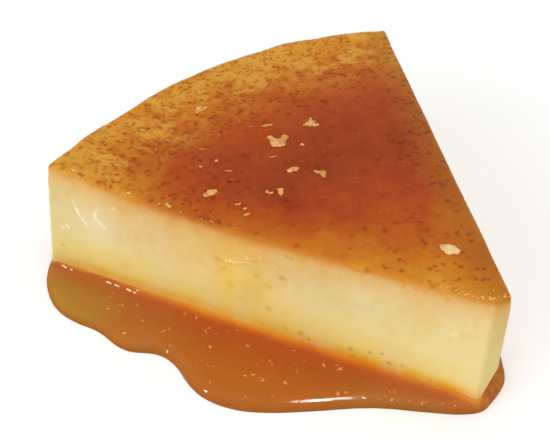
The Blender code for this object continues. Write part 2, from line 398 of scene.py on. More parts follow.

# %% [markdown]
# A pit is a burst bubble: a dimple half a millimetre or so wide that has filled with dark caramel.
# Places are drawn at random and kept by the crowding function, some get a neighbour, so that they
# run together, and a few large dark ones are listed by their radius and angle. Each point of the
# skin then looks up the pits near it in a tree, sinks by how close it is, and keeps that share as
# an attribute that the finish reads as colour. The marks of the front cut are few enough to measure
# one by one: a bubble is a shallow dimple, and a curl stands out a little.

# %% Scatter the pits
rng = np.random.default_rng(11)
CANDIDATES = 2600
drawn_radius = FOOT_RADIUS * np.sqrt(rng.random(CANDIDATES))
drawn_angle = SLICE_ANGLE * rng.random(CANDIDATES)
drawn = np.stack([
    AXIS.x - drawn_radius * np.cos(drawn_angle), AXIS.y + drawn_radius * np.sin(drawn_angle),
    np.zeros(CANDIDATES),
], axis=1)
most_per_square_mm = CANDIDATES / (0.5 * SLICE_ANGLE * (FOOT_RADIUS / MM) ** 2)
kept = drawn[rng.random(CANDIDATES) * most_per_square_mm < pits_per_square_mm(drawn)]
WITH_NEIGHBOUR = 0.45
NEIGHBOUR_STEP = 0.85 * MM
neighbours = kept[rng.random(len(kept)) < WITH_NEIGHBOUR]
turn = rng.random(len(neighbours)) * 2 * math.pi
step = np.stack([np.cos(turn), np.sin(turn), 0 * turn], axis=1) * NEIGHBOUR_STEP
LARGE_PITS = (
    (14.0, 36.7), (13.4, 42.0), (11.8, 26.8), (10.9, 33.0), (10.3, 37.0), (20.5, 17.9), (19.5, 22.0),
    (17.9, 27.5), (34.9, 35.0), (34.2, 33.0), (33.9, 30.4), (31.0, 14.3), (39.7, 12.6), (38.8, 17.8),
    (55.7, 21.3), (61.9, 24.8), (28.9, 4.3), (29.5, 4.9), (71.4, 1.2), (69.6, 1.3), (66.8, 1.2),
    (67.3, 1.6), (38.1, 7.4), (64.5, 1.4), (58.0, 1.6), (73.2, 2.2),
)
LARGE_SIZE, LARGE_DARKNESS = 0.46 * MM, 0.85


def on_slice(radius, degrees):
    """The place on the footprint at this radius in mm and angle from the front cut."""
    turn = math.radians(degrees)
    return AXIS + Vector((-math.cos(turn), math.sin(turn), 0.0)) * radius * MM


pit_places = np.concatenate([kept, neighbours + step, [on_slice(*place) for place in LARGE_PITS]])
pit_sizes = (0.33 + 0.32 * rng.random(len(pit_places)) ** 2) * MM
pit_turns = rng.random(len(pit_places)) * math.pi
pit_darkness = 0.45 + 0.45 * rng.random(len(pit_places))
pit_sizes[-len(LARGE_PITS):] = LARGE_SIZE
pit_darkness[-len(LARGE_PITS):] = LARGE_DARKNESS
print("pits on top:", len(pit_places), "most per square mm:", round(most_per_square_mm, 3))

# %% Sink the pits
PIT_REACH = 1.1 * MM
FACES_UP = 0.35
PIT_DEPTH, MARK_DEPTH, CURL_HEIGHT = 0.13 * MM, 0.04 * MM, 0.14 * MM
MARK_WIDTH = 1.5
pit_tree = tree_of(pit_places)
pitted, darkened = np.zeros(len(skin)), np.zeros(len(skin))
for number in np.nonzero(up > FACES_UP)[0]:
    spot = skin[number]
    for place, which, distance in pit_tree.find_range((spot[0], spot[1], 0.0), PIT_REACH):
        dx, dy = spot[0] - place.x, spot[1] - place.y
        turned = dx * math.cos(pit_turns[which]) + dy * math.sin(pit_turns[which])
        across = -dx * math.sin(pit_turns[which]) + dy * math.cos(pit_turns[which])
        share = 1.0 - math.hypot(turned, across * 1.1) / (1.6 * pit_sizes[which])
        pitted[number] = max(pitted[number], share)
        darkened[number] = max(darkened[number], share * pit_darkness[which])
skin[:, 2] -= PIT_DEPTH * rise(pitted, 0.0, 0.9)
on_cut = np.nonzero(normals[:, 1] < -0.5)[0]


def near_spots(spots):
    """1 at the middle of any of these spots of the front cut, fading to 0 a little outside it."""
    share = np.zeros(len(skin))
    across, height = (AXIS.x - skin[on_cut, 0]) / MM, skin[on_cut, 2] / MM
    for x, z, size in spots:
        away = np.hypot(across - x, height - z) / (MARK_WIDTH * size)
        share[on_cut] = np.maximum(share[on_cut], 1.0 - away)
    return share


marked, curled = near_spots(CUT_MARKS), rise(near_spots(CURL_SPOTS), 0.0, 0.8)
skin[:, 1] += MARK_DEPTH * marked - CURL_HEIGHT * curled
skin[:, 1] = np.maximum(skin[:, 1], slice_low.y)
put(custard, skin)
print("points in a pit:", int((pitted > 0).sum()))


# %% [markdown]
# ## How the caramel stained it
#
# The stain is deepest in a broad ring about half way out, thins towards the rim and the point, and
# fades over the front edge. Drawn as a curve over the radius in mm, faded near the front cut, with a
# spill where it runs right up to the edge, it becomes the attribute "stain": 0 pale, 1 deep rust.
# Other attributes say where the pits, marks and curls are, how far each point lies under the top, and
# how near it is to the point, the second cut and the rim, so that the finish can differ there.


# %% Draw the stain
STAIN_BY_RADIUS = (
    (0, 0.6), (14, 0.54), (20, 0.46), (30, 0.56), (40, 0.72), (50, 0.86), (60, 0.97), (70, 0.9),
    (80, 0.74), (90, 0.54), (98, 0.3), (106, 0.14),
)
STAIN_WANDER = 5 * MM


def stain_at(spots):
    """How deep the caramel has stained the custard at each row."""
    radius, angle = polar(spots)
    wander = STAIN_WANDER * waves(spots * np.array([1.0, 1.0, 0.0]), 22 * MM, 5)
    out = np.interp((radius + wander) / MM, *zip(*STAIN_BY_RADIUS))
    from_front = spots[:, 1] - AXIS.y
    spill = 0.36 + 0.26 * np.exp(-(((radius / MM - 78) / 12) ** 2))
    fade = spill + (1.0 - spill) * rise(from_front, 0.0, 15 * MM)
    edge = 1.0 - 0.22 * (1.0 - rise(from_second_cut(spots), 0.0, 9 * MM)) * rise(radius, 30 * MM, 55 * MM)
    return np.clip(out * fade * edge, 0.0, 1.0)


def add_attribute(piece, name, values):
    """Gives every point of the piece a number that its finish can read."""
    layer = piece.data.attributes.new(name, "FLOAT", "POINT")
    layer.data.foreach_set("value", np.asarray(values, dtype=np.float32))


stained = stain_at(skin)
off_point = (np.array(POINT_FRONT) - skin) @ np.array(POINT_NORMAL)
for name, values in {
    "stain": stained,
    "pit": rise(darkened, 0.0, 0.8),
    "mark": rise(marked, 0.0, 0.7),
    "curl": curled,
    "facet": 1.0 - rise(off_point, 0.15 * MM, 0.7 * MM),
    "below_top": below_top / MM,
    "crowding": pits_per_square_mm(skin) / 0.3,
    "second_cut": 1.0 - rise(from_second_cut(skin), 0.0, 11 * MM),
    "rim": rise(polar(skin)[0], 84 * MM, 98 * MM),
}.items():
    add_attribute(custard, name, values)
only(custard)
bpy.ops.object.shade_smooth()
print("deepest stain:", round(float(stained.max()), 2))

# %% [markdown]
# ## Finishes
#
# All finishes are node trees. Small helpers keep them readable: one turns an everyday colour into the
# linear one that a shader needs, one adds a node and fills its sockets, and the others each add one
# common kind of node: a ramp, some arithmetic, a noise, a mix of two colours, or a soft patch. They
# all add to the tree in hand, which is the one that new_finish began last.


# %% Helpers for node trees
def colour(red, green, blue):
    """A linear colour from everyday values, 0 to 255."""
    def linear(value):
        share = value / 255
        return share / 12.92 if share <= 0.04045 else ((share + 0.055) / 1.055) ** 2.4
    return (linear(red), linear(green), linear(blue), 1.0)


def new_finish(name):
    """A new node material: its tree and its principled shader."""
    material = bpy.data.materials.new(name)
    material.use_nodes = True
    tree = material.node_tree
    return material, tree, tree.nodes["Principled BSDF"]


def fill(made, values):
    """Fills a node's sockets, by name or number, with other sockets, colours in brackets or numbers."""
    for socket, value in values.items():
        if isinstance(value, bpy.types.NodeSocket):
            tree.links.new(value, made.inputs[socket])
        else:
            made.inputs[socket].default_value = colour(*value) if isinstance(value, tuple) else value


def node(kind, values=None, **settings):
    """Adds a node with these settings and fills its sockets."""
    made = tree.nodes.new("ShaderNode" + kind)
    for name, value in settings.items():
        setattr(made, name, value)
    fill(made, values or {})
    return made


def ramp(value, stops):
    """A colour ramp through (position, colour or grey) stops."""
    made = node("ValToRGB", {"Fac": value})
    points = made.color_ramp.elements
    while len(points) < len(stops):
        points.new(0.5)
    for point, (position, shade) in zip(points, stops):
        point.position = position
        point.color = colour(*shade) if isinstance(shade, tuple) else (shade, shade, shade, 1.0)
    return made.outputs["Color"]


def attribute(name):
    return node("Attribute", attribute_name=name).outputs["Fac"]


# %% Helpers for sums, noises and patches
def maths(kind, first, second, third=0.0):
    """A Math node, by the name of its operation."""
    return node("Math", {0: first, 1: second, 2: third}, operation=kind).outputs[0]


def times(first, second, plus=0.0):
    return maths("MULTIPLY_ADD", first, second, plus)


def varied(value, noise, amount):
    """The value, made up to half of this amount more or less by a noise."""
    return times(maths("SUBTRACT", noise, 0.5), amount, value)


def in_object():
    return node("TexCoord").outputs["Object"]


def coordinate(axis):
    """The object coordinate along X, Y or Z."""
    return node("SeparateXYZ", {0: in_object()}).outputs[axis]


def leftwards(plus=0.0):
    """0 at the axis of the flan and 1 beyond the rim, at 125 mm to its left."""
    return times(maths("SUBTRACT", AXIS.x, coordinate("X")), 1 / (125 * MM), plus)


def cloud(size, detail=3.0):
    """Noise in object space with lumps of about this size in metres."""
    values = {"Vector": in_object(), "Scale": 1.0 / size, "Detail": detail, "Roughness": 0.55}
    return node("TexNoise", values).outputs["Fac"]


def stretched(size, seed=0.0):
    """Noise in object space whose lumps have this size along x, y and z in metres."""
    scales = {"Vector": in_object(), "Scale": [1.0 / side for side in size], "Location": [seed] * 3}
    values = {"Vector": node("Mapping", scales).outputs[0], "Scale": 1.0, "Detail": 3.0}
    return node("TexNoise", values).outputs["Fac"]


def mixed(share, first, second, blend="MIX"):
    values = {0: share, 6: first, 7: second}
    return node("Mix", values, data_type="RGBA", blend_type=blend, clamp_factor=True).outputs[2]


def patch(centre, reach):
    """1 at a place on the slice, fading to 0 over a reach, both as x, y, z in metres."""
    moved = node("Mapping", {
        "Vector": in_object(), "Scale": [1.0 / side for side in reach],
        "Location": [-middle / side for middle, side in zip(centre, reach)],
    }).outputs[0]
    return node("TexGradient", {"Vector": moved}, gradient_type="QUADRATIC_SPHERE").outputs["Fac"]


# %% [markdown]
# ### Set custard
#
# One finish covers the whole slice, as one piece of custard would be. On the caramel side the stain
# attribute, broken up by noise, picks a colour from pale amber to rust. The rim is worn paler in
# patches, the second cut is browner, and fine specks and the pits darken it all.

# %% Mix the caramel side
custard_finish, tree, shader = new_finish("set_custard")
blotch = cloud(9 * MM, 4.0)
mottle = cloud(2.6 * MM)
grain = cloud(0.8 * MM, 2.0)
stain = varied(varied(attribute("stain"), blotch, 0.5), mottle, 0.32)
caramel = ramp(stain, [
    (0.0, (205, 148, 46)), (0.2, (195, 124, 26)), (0.36, (186, 104, 18)), (0.52, (174, 86, 15)),
    (0.68, (165, 71, 13)), (0.84, (154, 59, 11)), (1.0, (141, 52, 9)),
])
worn = ramp(cloud(6 * MM), [(0.46, 0.0), (0.6, 1.0)])
worn = times(worn, times(attribute("rim"), 0.75))
# Duller and browner towards the second cut.
second_cut_tint = times(attribute("second_cut"), 0.48)
flecked = ramp(cloud(1.3 * MM, 2.0), [(0.63, 0.0), (0.75, 0.25)])
for share, tint in ((worn, (208, 152, 56)), (second_cut_tint, (152, 100, 28)), (flecked, (206, 128, 62))):
    caramel = mixed(share, caramel, tint)
cells = node("TexVoronoi", {"Vector": in_object(), "Scale": 1 / (1.5 * MM)})
specks = ramp(cells.outputs["Distance"], [(0.12, 1.0), (0.3, 0.0)])
specks = times(specks, times(attribute("crowding"), 0.45))
caramel = mixed(specks, caramel, mixed(1.0, caramel, (222, 180, 130), "MULTIPLY"))
pits = mixed(1.0, caramel, (200, 158, 94), "MULTIPLY")
caramel = mixed(attribute("pit"), caramel, pits)
print("caramel side mixed:", len(tree.nodes), "nodes")

# %% [markdown]
# The cuts are cream. Just above the syrup they turn orange: partly the thin film of syrup that
# wets the foot, and partly a painted glow, the orange light that the syrup throws on the custard,
# which is yellower low in the middle of the cut. So their colour follows the height, which is made
# uneven by noise. Custard is stirred, not uniform: a yolk-yellow patch in the middle, marbling and
# a milky veil. Both ends are a little different: paler high up near the point, darker towards the
# rim end. The small flat at the point turns from the light, and its darker, greyer cream is painted
# shade. Everything that changes along the cut reads one number, which runs from 0 at the axis to 1
# just beyond the rim.

# %% Mix the cream of the cuts
LEVEL_TOP = 20 * MM
level = varied(coordinate("Z"), mottle, 1.6 * MM)
level = times(level, 1 / LEVEL_TOP)
left = leftwards()
# The lowest stops are the orange foot: the thin film of syrup and a painted glow of the syrup's light.
cream = ramp(level, [
    (0.10, (232, 142, 26)), (0.16, (232, 162, 38)), (0.22, (231, 190, 78)), (0.30, (233, 207, 112)),
    (0.42, (233, 211, 126)), (0.65, (231, 211, 144)), (0.95, (221, 202, 144)),
])
yolk = patch(AXIS + Vector((-63, 0, 17)) * MM, (24 * MM, 40 * MM, 30 * MM))
yolk = times(yolk, maths("ADD", mottle, 0.5))
marbled = ramp(stretched((8 * MM, 8 * MM, 14 * MM)), [(0.5, 0.0), (0.75, 0.5)])
milky = ramp(stretched((7 * MM, 7 * MM, 20 * MM), 40.0), [(0.5, 0.0), (0.75, 0.45)])
torn = patch(AXIS + Vector((-99, 0, 19)) * MM, (14 * MM, 30 * MM, 11 * MM))
# Low in the middle of the cut the painted glow turns yellower.
calm = ramp(left, [(0.36, 0.0), (0.46, 0.5), (0.66, 0.65)])
calm = times(calm, ramp(level, [(0.14, 1.0), (0.26, 0.0)]))
pale_end = ramp(left, [(0.05, 0.55), (0.25, 0.0)])
pale_end = times(pale_end, ramp(level, [(0.22, 0.0), (0.34, 1.0)]))
rim_end = ramp(left, [(0.8, 0.0), (0.9, 0.55)])
# Painted shade: the small flat at the point turns from the light, so its cream is darker and greyer. The
# same share lets the soak reach deeper there.
facet = times(attribute("facet"), 0.55)
for share, tint in (
    (yolk, (234, 198, 92)), (marbled, (224, 190, 100)), (milky, (230, 212, 166)),
    (torn, (229, 211, 168)), (calm, (234, 196, 98)), (pale_end, (230, 206, 146)),
    (rim_end, (206, 184, 120)), (facet, (206, 186, 116)),
):
    cream = mixed(share, cream, tint)
print("cream mixed:", len(tree.nodes), "nodes")

# %% [markdown]
# The burst bubbles low on the cut are brown, those high up are yellow. The curls are pale, partly
# their own colour and partly a painted wet sheen, and near-white painted highlights gleam on them here
# and there. Last, the caramel soaks in from above: it turns golden, then fades to cream over a few
# millimetres, less deep in the middle of the cut and deeper at the point.

# %% Mark the cuts and let the caramel soak in
high_up = ramp(level, [(0.4, 0.0), (0.5, 1.0), (1.2, 1.0), (1.3, 0.0)])
marks = mixed(mottle, (168, 98, 28), (218, 170, 70))
marks = mixed(high_up, marks, (222, 184, 66))
cream = mixed(times(attribute("mark"), 0.6), cream, marks)
# Curl colours: partly their own pale colour and partly a painted wet sheen, with near-white painted
# highlights mixed in by noise.
curls = ramp(left, [
    (0.2, (236, 218, 150)), (0.42, (234, 190, 74)), (0.55, (234, 194, 78)), (0.66, (252, 240, 208)),
])
painted_gleam = ramp(grain, [(0.5, 0.0), (0.6, 0.8)])
painted_gleam = times(painted_gleam, ramp(left, [(0.1, 0.2), (0.3, 1.0)]))
curls = mixed(painted_gleam, curls, (254, 244, 214))
broken = ramp(mottle, [(0.35, 0.25), (0.6, 0.85)])
cream = mixed(times(attribute("curl"), broken), cream, curls)
SOAK_DEPTH = 12
uneven = maths("ADD", blotch, times(mottle, 1.2, -0.1))
soaked = times(attribute("below_top"), uneven)
reach = ramp(left, [(0.3, 1.0), (0.46, 0.68), (0.7, 0.62), (0.82, 0.95)])
reach = times(facet, -0.6, reach)
soaked = times(times(soaked, 1 / SOAK_DEPTH), reach)
golden = ramp(soaked, [(0.0, 0.0), (0.05, 0.4), (0.12, 0.8), (0.22, 1.0)])
caramel = mixed(golden, caramel, (212, 148, 58))
fade = ramp(soaked, [
    (0.03, 0.0), (0.1, 0.22), (0.2, 0.44), (0.3, 0.58), (0.5, 0.76), (0.75, 0.9), (1.0, 1.0),
])
fill(shader, {"Base Color": mixed(fade, caramel, cream)})
print("custard mixed:", len(tree.nodes), "nodes")

# %% [markdown]
# Fresh custard is moist: a soft sheen, light that travels a little way inside, and a fine grain that
# only shows where light grazes it. The numbers that are the same all over sit on the shader itself.

# %% Give the custard its sheen
dull = times(attribute("curl"), -0.15, times(grain, 0.2, 0.3))
grit = node("Bump", {"Strength": 0.35, "Distance": 0.25 * MM, "Height": grain})
fill(shader, {
    "Roughness": dull, "Specular IOR Level": 0.12, "Normal": grit.outputs["Normal"],
    "Subsurface Weight": 0.25, "Subsurface Radius": [1.0, 0.5, 0.22], "Subsurface Scale": 2.5 * MM,
})
custard.data.materials.append(custard_finish)
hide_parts("custard_slice")
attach(custard, "root")
print("custard finished,", len(custard.data.polygons), "faces")

# %% [markdown]
# ## The pool of syrup
#
# Thin syrup finds its own level: a rounded bead at its outer edge, a flat sheet, and a small climb
# where it wets the custard. Its outline is the solid's own, read from the lowest edges of the CAD
# node. The solid is open at one corner of the slice, so its line goes round the outside one way and
# then back along the foot of the slice. Seen from the middle of the slice, the angle grows on the way
# out and shrinks on the way back, and only the first of the two is the outer line.


# %% Read the outlines on the ground
def ground_line(node_name):
    """The closed line of points round the underside of a CAD node."""
    shape = bmesh.new()
    shape.from_mesh(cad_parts[node_name].data)
    bmesh.ops.remove_doubles(shape, verts=shape.verts, dist=0.01 * MM)
    nexts = {}
    for edge in shape.edges:
        on_ground = max(vert.co.z for vert in edge.verts) < 0.02 * MM
        if on_ground and sum(face.normal.z < -0.9 for face in edge.link_faces) == 1:
            first, second = edge.verts
            nexts.setdefault(first, []).append(second)
            nexts.setdefault(second, []).append(first)
    line = [next(iter(nexts))]
    while True:
        onward = [vert for vert in nexts.pop(line[-1]) if vert in nexts]
        if not onward:
            break
        line.append(onward[0])
    line = np.array([vert.co[:] for vert in line])
    shape.free()
    return line


def evenly(line, count):
    """The closed line again, as this many points at even distances, running anticlockwise."""
    closed = np.vstack([line, line[:1]])
    lengths = lengths_of(closed)
    spots = between(closed, lengths, np.linspace(0.0, lengths[-1], count, endpoint=False))
    onward = np.roll(spots, -1, axis=0)
    turns = np.sum(spots[:, 0] * onward[:, 1] - spots[:, 1] * onward[:, 0])
    return spots if turns > 0 else spots[::-1]


def softened(line, reach):
    """The closed line with each point moved to the mean of its neighbours up to reach away."""
    return sum(np.roll(line, step, axis=0) for step in range(-reach, reach + 1)) / (2 * reach + 1)


LINE_POINTS = 3000
foot_line = evenly(ground_line("custard_slice"), LINE_POINTS)
foot_tree = tree_of(foot_line)
pool_line = evenly(ground_line("caramel_sauce"), 2 * LINE_POINTS)
seen = pool_line - foot_line.mean(axis=0)
turned = np.unwrap(np.arctan2(seen[:, 1], seen[:, 0]))
start, end = int(turned.argmin()), int(turned.argmax())
outer_line = np.roll(pool_line, -start, axis=0)[:(end - start) % len(pool_line) + 1]
outer_line = softened(evenly(outer_line, LINE_POINTS), 8)
print("the outer line turns", round(math.degrees(turned[end] - turned[start])), "degrees")

# %% [markdown]
# The sheet of syrup runs a little way in under the skin of the custard, so that no gap can show. Its
# inner line is the foot of the slice drawn in, and every point of the outer line is paired with the
# nearest place on the inner one. The pairs are softened, so that lines fan out round a corner, and
# then picked at an even pace along both lines together, so that no strip of the sheet is too wide.

# %% Pair the inner line with the outer
AROUND = 640
HIDDEN = 0.9 * MM


def at(line, index):
    """The closed line's places at these indices, whole or not."""
    count = len(line)
    return between(np.vstack([line, line[:1]]), np.arange(count + 1), index % count)


along = np.roll(foot_line, -1, axis=0) - np.roll(foot_line, 1, axis=0)
inward = np.stack([-along[:, 1], along[:, 0], 0 * along[:, 0]], axis=1)
inward = softened(inward / np.linalg.norm(inward, axis=1)[:, None], 6)
inner_line = softened(foot_line + inward * HIDDEN, 5)
inner_tree = tree_of(inner_line)
outer_tree = tree_of(outer_line)
count = len(inner_line)
numbers = np.arange(count + 1)
nearest = np.array([inner_tree.find(spot)[1] for spot in outer_line])
steps = (np.diff(nearest) + count / 2) % count - count / 2
paired = np.maximum.accumulate(nearest[0] + np.concatenate([[0.0], np.cumsum(steps)]))
lead = (paired - numbers[:-1])[:, None]
for _ in range(3):
    lead = softened(lead, 16)
paired = numbers + np.append(lead, lead[0])
progress = np.concatenate([[0.0], np.cumsum(1.0 + np.diff(paired))])
picked = np.interp(np.arange(AROUND) * progress[-1] / AROUND, progress, numbers)
outer = at(outer_line, picked)
inner = at(inner_line, np.interp(picked, numbers, paired))
gaps = np.linalg.norm(np.roll(inner, -1, axis=0) - inner, axis=1)
print("widest sheet:", round(float(np.linalg.norm(outer - inner, axis=1).max()) / MM, 1), "mm,",
      "widest strip:", round(float(gaps.max()) / MM, 2), "mm")


# %% [markdown]
# A grid primitive is the sheet. One direction of it is rolled round the slice, and the other goes
# out over the top, down the bead, back along the ground and up again to where it began. Rows are
# closer together at both ends of the top, where the syrup curves most. Merging the doubles closes
# the two seams, and the normals are then turned outwards.


# %% Roll a sheet into the pool
BEAD = 3.0 * MM
CLIMB = 0.25 * MM
CLIMB_WIDTH = 0.9 * MM
SWELL = 0.12 * MM
ROWS = 30
ALL_ROWS = ROWS + 3


def from_line(tree, spots):
    """How far each row's footprint is from the nearest point of a line on the ground."""
    return np.array([tree.find((spot[0], spot[1], 0.0))[2] for spot in spots])


def syrup_height(spots):
    """The top of the syrup, and each row's distances from the custard and from the pool's edge."""
    from_edge = from_line(outer_tree, spots)
    from_custard = from_line(inner_tree, spots) - HIDDEN
    bead = np.sqrt(1.0 - (1.0 - np.clip(from_edge / BEAD, 0.0, 1.0)) ** 2)
    wetting = CLIMB * (1.0 + 0.12 * waves(spots, 6 * MM, 8))
    climb = wetting * np.exp(-np.maximum(from_custard, -0.1 * MM) / CLIMB_WIDTH)
    swell = SWELL * (waves(spots, 11 * MM, 9) - 0.6)
    return (SYRUP_DEPTH + swell) * bead + climb * rise(from_edge, 0.0, BEAD), from_custard, from_edge


bpy.ops.object.select_all(action="DESELECT")
bpy.ops.mesh.primitive_grid_add(x_subdivisions=AROUND, y_subdivisions=ALL_ROWS, size=1.0)
syrup = bpy.context.object
syrup.name = "caramel_pool"
grid = places(syrup)
station = np.rint((grid[:, 0] + 0.5) * AROUND).astype(int) % AROUND
row = np.rint((grid[:, 1] + 0.5) * ALL_ROWS).astype(int) % ALL_ROWS
share = np.where(row <= ROWS, (1.0 - np.cos(np.pi * row / ROWS)) / 2, np.where(row == ROWS + 1, 0.5, 0.0))
sheet = inner[station] + (outer[station] - inner[station]) * share[:, None]
level, from_custard, from_edge = syrup_height(sheet)
sheet[:, 2] = np.where(row < ROWS, level, 0.0)
put(syrup, sheet)
add_attribute(syrup, "from_custard", from_custard / MM)
add_attribute(syrup, "from_edge", from_edge / MM)
only(syrup)
bpy.ops.object.mode_set(mode="EDIT")
bpy.ops.mesh.select_all(action="SELECT")
bpy.ops.mesh.remove_doubles(threshold=0.0001 * MM)
bpy.ops.mesh.normals_make_consistent(inside=False)
bpy.ops.object.mode_set(mode="OBJECT")
bpy.ops.object.shade_smooth_by_angle(angle=math.radians(50))
print("pool:", len(syrup.data.polygons), "faces, highest", round(level.max() / MM, 2), "mm")

# %% [markdown]
# ### Caramel syrup
#
# The syrup is clear, but over a pale ground its colour comes from its depth: orange where it climbs
# the custard, red-brown just beyond, then amber, and ochre towards the rim end, where it is thin.
# Painting those bands from the distances is calmer than real refraction and keeps its look in every
# light. The dark rim along the outer edge is painted shade on the rounded bead. A low roughness gives
# the wet gloss. At the point the syrup is full of froth, so it is bubbly and dull there, and it is
# dull again at the far rim end.

# %% Mix the syrup
syrup_finish, tree, shader = new_finish("caramel_syrup")
drift = cloud(14 * MM)
fine = cloud(3 * MM)
left = leftwards(times(drift, 0.12))
out = times(varied(attribute("from_custard"), drift, 2.5), 1 / 20)
amber = ramp(out, [
    (0.0, (232, 154, 46)), (0.025, (226, 138, 40)), (0.06, (207, 109, 36)), (0.12, (178, 76, 33)),
    (0.3, (166, 72, 28)), (0.5, (166, 78, 24)), (0.8, (172, 90, 27)),
])
ochre = ramp(out, [
    (0.0, (206, 132, 52)), (0.03, (172, 88, 36)), (0.1, (170, 98, 38)), (0.25, (164, 116, 38)),
    (0.5, (160, 130, 40)),
])
ochre_share = ramp(left, [
    (0.06, 0.5), (0.2, 0.5), (0.38, 0.06), (0.58, 0.05), (0.76, 0.32), (0.88, 0.8), (0.96, 0.95),
])
amber = mixed(ochre_share, amber, ochre)
# Painted shade: a dark rim on the rounded bead along the pool's outer edge.
painted_edge_shade = times(attribute("from_edge"), 1 / 4)
painted_edge_shade = ramp(painted_edge_shade, [(0.0, 0.9), (0.07, 0.65), (0.16, 0.3), (0.4, 0.0)])
amber = mixed(painted_edge_shade, amber, (144, 82, 20))
froth = ramp(cloud(1.6 * MM), [
    (0.38, (150, 82, 20)), (0.5, (186, 108, 32)), (0.62, (218, 146, 54)),
])
at_point = ramp(left, [(0.0, 0.85), (0.05, 0.6), (0.09, 0.0)])
amber = mixed(at_point, amber, froth)
amber = mixed(times(fine, 0.25), amber, (196, 116, 40))
print("syrup mixed:", len(tree.nodes), "nodes")

# %% Give the syrup its gloss
dull_ends = ramp(left, [(0.26, 0.62), (0.31, 0.0), (0.67, 0.0), (0.71, 0.85)])
smear = maths("ADD", times(fine, 0.05, 0.03), dull_ends)
lap = node("Bump", {"Strength": 0.15, "Distance": 0.2 * MM, "Height": fine})
bubbles = node("Bump", {
    "Strength": ramp(left, [(0.27, 0.3), (0.31, 0.0)]), "Distance": 0.6 * MM,
    "Height": cloud(1.4 * MM, 1.0), "Normal": lap.outputs["Normal"],
})
fill(shader, {
    "Base Color": amber, "Roughness": smear, "IOR": 1.45, "Specular IOR Level": 0.22,
    "Subsurface Weight": 0.2, "Subsurface Radius": [1.0, 0.4, 0.1], "Subsurface Scale": 2.0 * MM,
    "Normal": bubbles.outputs["Normal"],
})
syrup.data.materials.append(syrup_finish)
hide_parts("caramel_sauce")
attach(syrup, "root")
print("syrup finished")

# %% [markdown]
# ## Crumbs
#
# Bits of custard fell on the top when the flan was cut. A crumb is torn and lumpy, so it isn't a
# ball: it is made as a few squashed balls that overlap, melted into one skin by a fine voxel remesh
# and roughened with noise. The ball is modelled once, and each lump is a copy with its own mesh. A
# crumb is given by its radius and angle on the slice, and then by its balls, each so far to the right,
# so far away and so large in mm, as seen by someone who stands where the camera will.


# %% Helpers for lumps
bpy.ops.object.select_all(action="DESELECT")
bpy.ops.mesh.primitive_ico_sphere_add(subdivisions=2, radius=1.0)
ball = bpy.context.object
ball.name = "ball"
custard_tree = BVHTree.FromObject(custard, bpy.context.evaluated_depsgraph_get())
syrup_tree = BVHTree.FromObject(syrup, bpy.context.evaluated_depsgraph_get())
TORN_SIZE = 0.9 * MM


def surface(tree, x, y):
    """The height of a skin over a place, looked up from above."""
    hit = tree.ray_cast(Vector((x, y, 0.1)), Vector((0.0, 0.0, -1.0)))[0]
    return hit.z if hit else 0.0


def lump(place, size, flat=0.6, stretch=1.0, turn=0.0):
    """A copy of the ball with its own mesh, squashed, stretched and turned, at this place."""
    piece = ball.copy()
    piece.data = ball.data.copy()
    bpy.context.collection.objects.link(piece)
    spots = places(piece) * np.array([size * stretch, size / stretch, size * flat])
    cos, sin = math.cos(turn), math.sin(turn)
    spots[:, :2] = spots[:, :2] @ np.array([[cos, sin], [-sin, cos]])
    put(piece, spots + np.array(place))
    return piece


def fuse(pieces, name, voxel, roughness):
    """Joins the pieces, melts them into one skin, smooths it and roughens it."""
    bpy.ops.object.select_all(action="DESELECT")
    for piece in pieces:
        piece.select_set(True)
    bpy.context.view_layer.objects.active = pieces[0]
    bpy.ops.object.join()
    joined = bpy.context.object
    joined.name = name
    apply_modifier(joined, "REMESH", mode="VOXEL", voxel_size=voxel)
    apply_modifier(joined, "SMOOTH", factor=0.5, iterations=2)
    spots = places(joined)
    torn = np.stack([waves(spots, TORN_SIZE, seed) for seed in (21, 22, 23)], axis=1)
    put(joined, spots + torn * roughness)
    only(joined)
    bpy.ops.object.shade_smooth()
    print(name, "has", len(joined.data.polygons), "faces")
    return joined


